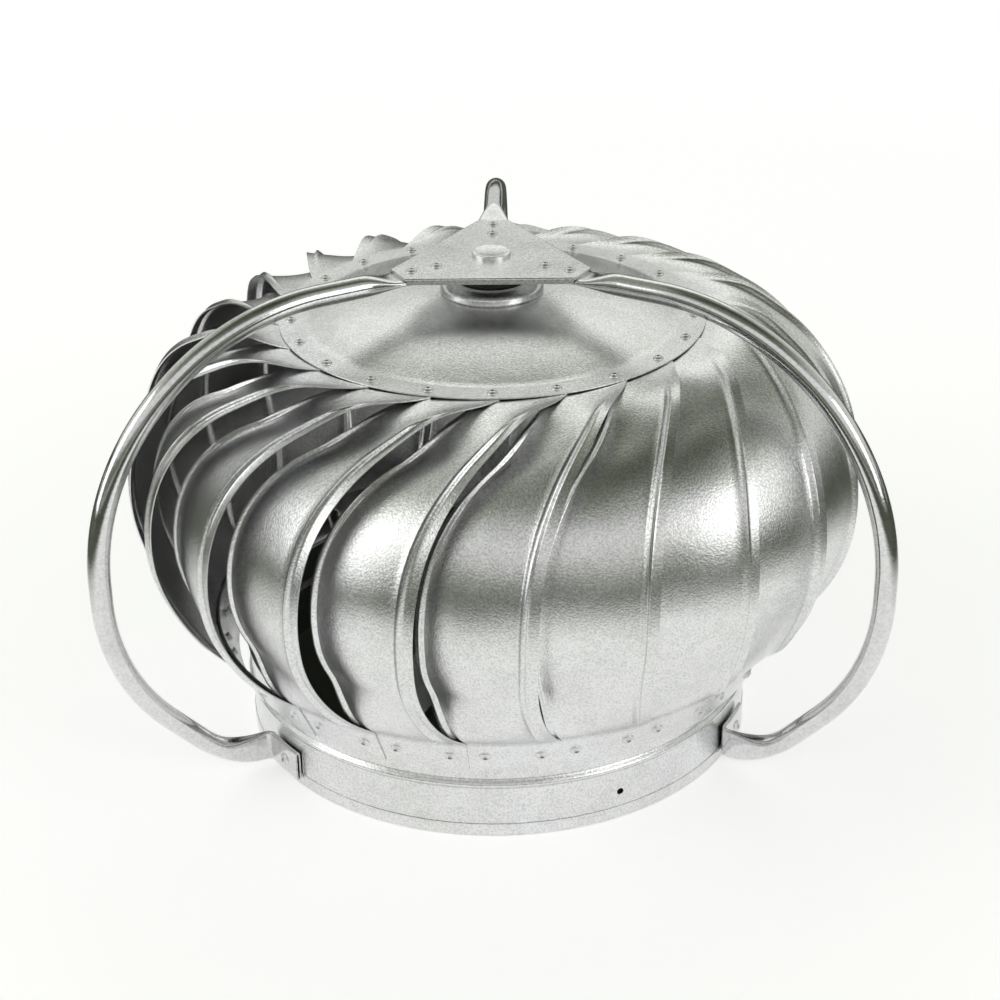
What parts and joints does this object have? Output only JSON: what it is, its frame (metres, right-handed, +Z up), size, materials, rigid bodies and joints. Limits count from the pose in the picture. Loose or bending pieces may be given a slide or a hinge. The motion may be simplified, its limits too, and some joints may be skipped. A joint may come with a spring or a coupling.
{
  "type": "roof turbine ventilator",
  "caption": "Wind-driven roof ventilator: a ball of twisted lapped sheet vanes turning on a braced shaft over a slip-on round throat.",
  "frame": {"origin": "on the shaft's axis in the plane of the collar's bottom edge", "axes": "+Z up along the shaft, -Y towards the side between two braces, one brace along +Y"},
  "size_m": [0.4466, 0.4736, 0.2977],
  "materials": {
    "galvanised_sheet": "satin galvanised sheet",
    "galvanised_tube": "bright galvanised tube",
    "rivet_aluminium": "satin",
    "bearing_steel": "ground",
    "cage_steel": "pressed",
    "black_plastic": "matt",
    "housing_aluminium": "turned",
    "plated_steel": "zinc plated"
  },
  "bodies": {
    "fixed": {"collar": "galvanised_sheet", "brace_rear": "galvanised_tube", "brace_left": "galvanised_tube", "brace_right": "galvanised_tube", "brace_plate": "galvanised_sheet", "plate_rivets": "rivet_aluminium", "foot_rivets": "rivet_aluminium", "shaft": "plated_steel", "upper_spacer": "plated_steel", "distance_tube": "plated_steel", "shaft_washer": "plated_steel", "shaft_nut": "plated_steel", "upper_inner_race": "bearing_steel", "lower_inner_race": "bearing_steel"},
    "rotor": {"crown": "galvanised_sheet", "bearing_housing": "housing_aluminium", "upper_outer_race": "bearing_steel", "upper_dust_cap": "black_plastic", "lower_ring": "galvanised_sheet", "spider": "galvanised_sheet", "lower_outer_race": "bearing_steel", "crown_rivets": "rivet_aluminium", "ring_rivets": "rivet_aluminium", "vane_01": "galvanised_sheet", "vane_02": "galvanised_sheet", "vane_03": "galvanised_sheet", "vane_04": "galvanised_sheet", "vane_05": "galvanised_sheet", "vane_06": "galvanised_sheet", "vane_07": "galvanised_sheet", "vane_08": "galvanised_sheet", "vane_09": "galvanised_sheet", "vane_10": "galvanised_sheet", "vane_11": "galvanised_sheet", "vane_12": "galvanised_sheet", "vane_13": "galvanised_sheet", "vane_14": "galvanised_sheet", "vane_15": "galvanised_sheet", "vane_16": "galvanised_sheet", "vane_17": "galvanised_sheet", "vane_18": "galvanised_sheet", "vane_19": "galvanised_sheet", "vane_20": "galvanised_sheet", "vane_21": "galvanised_sheet"},
    "upper_cage_body": {"upper_cage": "cage_steel", "upper_balls": "bearing_steel"},
    "lower_cage_body": {"lower_cage": "cage_steel", "lower_balls": "bearing_steel"}
  },
  "joints": [
    {"name": "rotor_spin", "type": "hinge", "parent": "fixed", "child": "rotor", "pos_m": [0, 0, 0.2725], "axis": [0, 0, 1], "continuous": true},
    {"name": "upper_cage_spin", "type": "hinge", "parent": "fixed", "child": "upper_cage_body", "pos_m": [0, 0, 0.2725], "axis": [0, 0, 1], "continuous": true},
    {"name": "lower_cage_spin", "type": "hinge", "parent": "fixed", "child": "lower_cage_body", "pos_m": [0, 0, 0.073], "axis": [0, 0, 1], "continuous": true}
  ],
  "couplings": [
    {"joint": "upper_cage_spin", "follows": "rotor_spin", "ratio": 0.66204},
    {"joint": "lower_cage_spin", "follows": "rotor_spin", "ratio": 0.66204}
  ]
}
